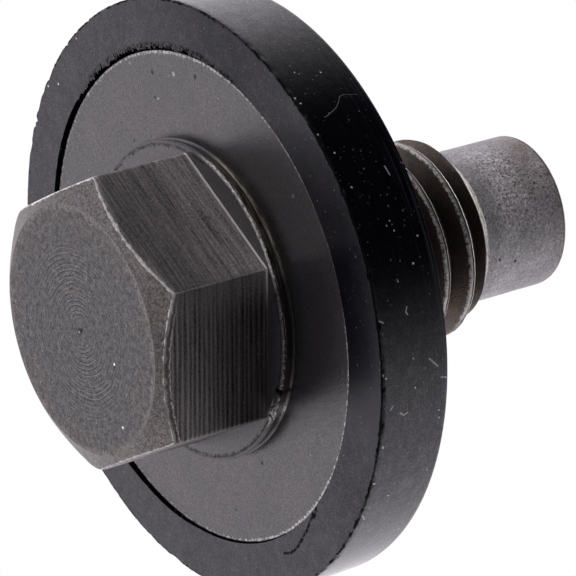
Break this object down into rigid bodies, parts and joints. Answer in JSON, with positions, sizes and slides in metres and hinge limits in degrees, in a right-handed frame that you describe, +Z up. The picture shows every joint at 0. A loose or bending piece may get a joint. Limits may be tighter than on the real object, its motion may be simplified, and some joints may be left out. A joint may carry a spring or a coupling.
{
  "type": "transmission drain plug",
  "caption": "Hex-head drain plug with a collar, a flange edged by a bonded rubber sealing ring, a coarse right-hand thread and a plain pilot end.",
  "frame": {"origin": "middle of the hexagon head's end face, on which the plug stands", "axes": "+Z up the shank, from the head to the pilot end; two flats of the hexagon face +Y and -Y"},
  "size_m": [0.029, 0.029, 0.0261],
  "materials": {
    "phosphated_steel": "dark phosphate over turned steel, worn bright along the edges and thread crests",
    "seal_rubber": "glossy moulded nitrile on the outer wall, duller and nibbled where it was trimmed"
  },
  "bodies": {
    "root": {"plug_body": "phosphated_steel", "rubber_seal": "seal_rubber"}
  },
  "joints": []
}
